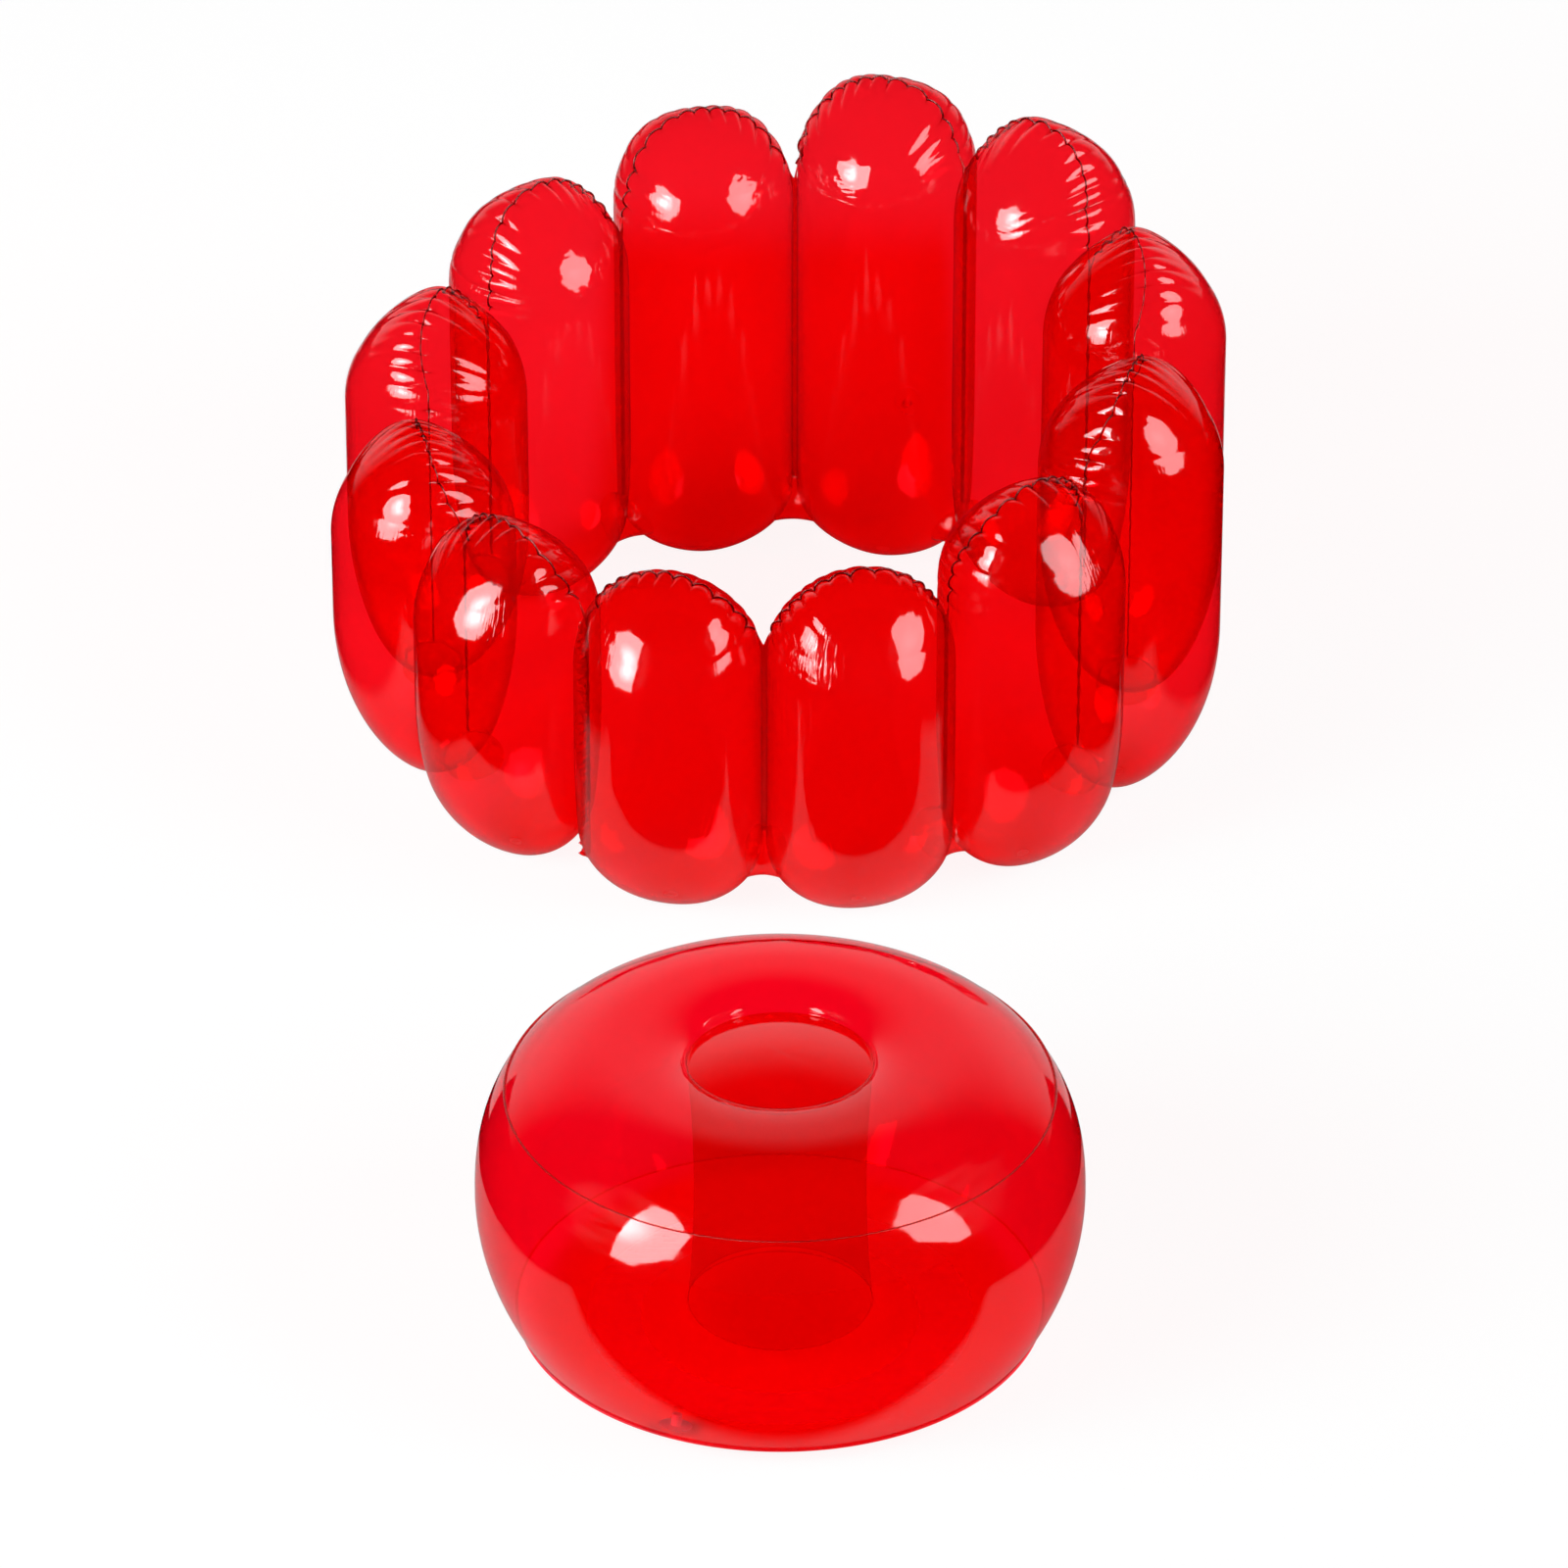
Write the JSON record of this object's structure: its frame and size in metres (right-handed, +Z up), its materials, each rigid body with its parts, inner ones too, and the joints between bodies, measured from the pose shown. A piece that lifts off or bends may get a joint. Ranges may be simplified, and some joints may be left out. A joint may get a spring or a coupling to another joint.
{
  "type": "inflatable chair",
  "caption": "Inflatable chair of clear red film: a ring of upright air tubes, taller at the back, with a separate round air seat that stands before it.",
  "frame": {"origin": "middle of the bounding box of the ring and the seat together, on the floor", "axes": "+Z up; the chair faces -Y, with the closing weld in front and the tallest tubes at +Y; the seat stands by itself before the ring, towards +X and -Y"},
  "size_m": [1.5022, 1.8817, 0.6374],
  "materials": {
    "clear_red_film": "glossy",
    "welded_film": "glossy",
    "valve_moulding": "satin"
  },
  "bodies": {
    "ring": {"ring_tube_01": "clear_red_film", "ring_tube_02": "clear_red_film", "ring_tube_03": "clear_red_film", "ring_tube_04": "clear_red_film", "ring_tube_05": "clear_red_film", "ring_tube_06": "clear_red_film", "ring_tube_07": "clear_red_film", "ring_tube_08": "clear_red_film", "ring_tube_09": "clear_red_film", "ring_tube_10": "clear_red_film", "ring_tube_11": "clear_red_film", "ring_tube_12": "clear_red_film", "air_passage_01": "clear_red_film", "air_passage_02": "clear_red_film", "air_passage_03": "clear_red_film", "air_passage_04": "clear_red_film", "air_passage_05": "clear_red_film", "air_passage_06": "clear_red_film", "air_passage_07": "clear_red_film", "air_passage_08": "clear_red_film", "air_passage_09": "clear_red_film", "air_passage_10": "clear_red_film", "air_passage_11": "clear_red_film", "tube_weld_01": "welded_film", "tube_weld_02": "welded_film", "tube_weld_03": "welded_film", "tube_weld_04": "welded_film", "tube_weld_05": "welded_film", "tube_weld_06": "welded_film", "tube_weld_07": "welded_film", "tube_weld_08": "welded_film", "tube_weld_09": "welded_film", "tube_weld_10": "welded_film", "tube_weld_11": "welded_film", "closing_weld": "welded_film", "head_outline_weld": "welded_film", "ring_valve_body": "valve_moulding"},
    "ring_stopper": {"ring_valve_stopper": "valve_moulding"},
    "ring_flap": {"ring_valve_flap": "valve_moulding"},
    "seat": {"seat_top_sheet": "clear_red_film", "seat_side_band": "clear_red_film", "seat_bottom_sheet": "clear_red_film", "seat_column": "clear_red_film", "seat_top_seam": "welded_film", "seat_bottom_seam": "welded_film", "column_top_weld": "welded_film", "column_bottom_weld": "welded_film", "seat_valve_body": "valve_moulding"},
    "seat_stopper": {"seat_valve_stopper": "valve_moulding"},
    "seat_flap": {"seat_valve_flap": "valve_moulding"}
  },
  "joints": [
    {"name": "seat_lift", "type": "slide", "parent": "ring", "child": "seat", "axis": [0, 0, 1], "range_m": [0, 0.65]},
    {"name": "ring_stopper_pull", "type": "slide", "parent": "ring", "child": "ring_stopper", "axis": [-0.2554, 0.9533, -0.1614], "range_m": [0, 0.014]},
    {"name": "ring_flap_swing", "type": "hinge", "parent": "ring", "child": "ring_flap", "pos_m": [-0.372, 0.90713, 0.1505], "axis": [0.0418, -0.1559, -0.9869], "range_deg": [0, 45], "stiffness_Nm_per_rad": 0.0001},
    {"name": "seat_stopper_pull", "type": "slide", "parent": "seat", "child": "seat_stopper", "axis": [0.0242, -0.2455, -0.9691], "range_m": [0, 0.014]},
    {"name": "seat_flap_swing", "type": "hinge", "parent": "seat", "child": "seat_flap", "pos_m": [0.45503, -0.85291, 0.02526], "axis": [-0.095, 0.9644, -0.2467], "range_deg": [0, 45], "stiffness_Nm_per_rad": 0.0001}
  ]
}
